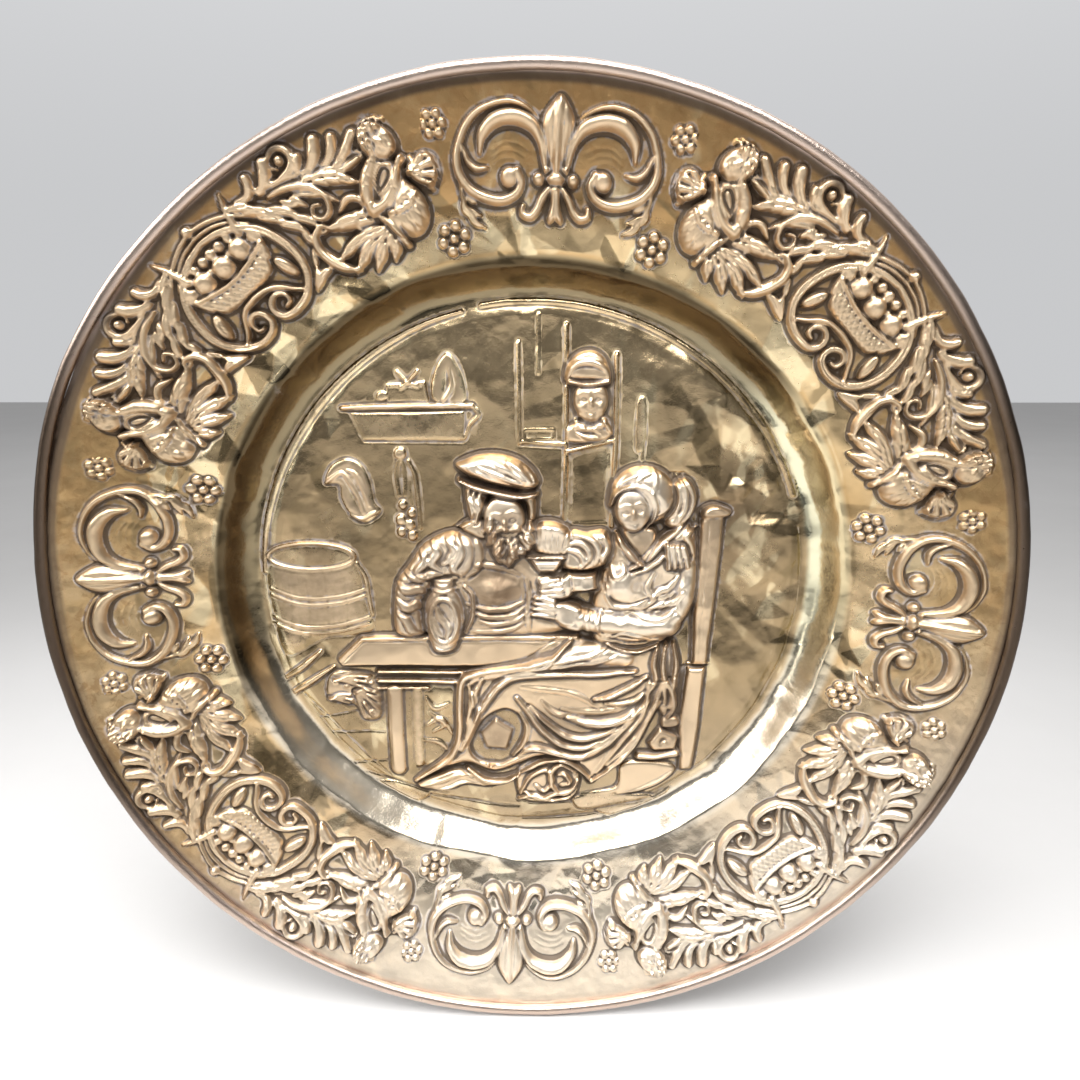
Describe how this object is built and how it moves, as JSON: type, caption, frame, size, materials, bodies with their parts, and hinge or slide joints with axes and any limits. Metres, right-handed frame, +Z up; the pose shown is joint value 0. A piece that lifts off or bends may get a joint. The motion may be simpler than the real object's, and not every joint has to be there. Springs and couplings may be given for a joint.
{
  "type": "repousse wall charger",
  "caption": "Round brass wall dish with a rolled edge: broad sloping border hammered with lilies, baskets and putti round a sunk flat well with a tavern scene in relief.",
  "frame": {"origin": "centre of the flat back of the well, where it lies against the wall", "axes": "-Y out of the wall along the dish's axis, towards the viewer; +Z up the wall; +X to the viewer's right"},
  "size_m": [0.6, 0.0536, 0.6],
  "materials": {
    "brass": "hammered and polished, darkened in the hollows"
  },
  "bodies": {
    "root": {"charger": "brass"}
  },
  "joints": []
}
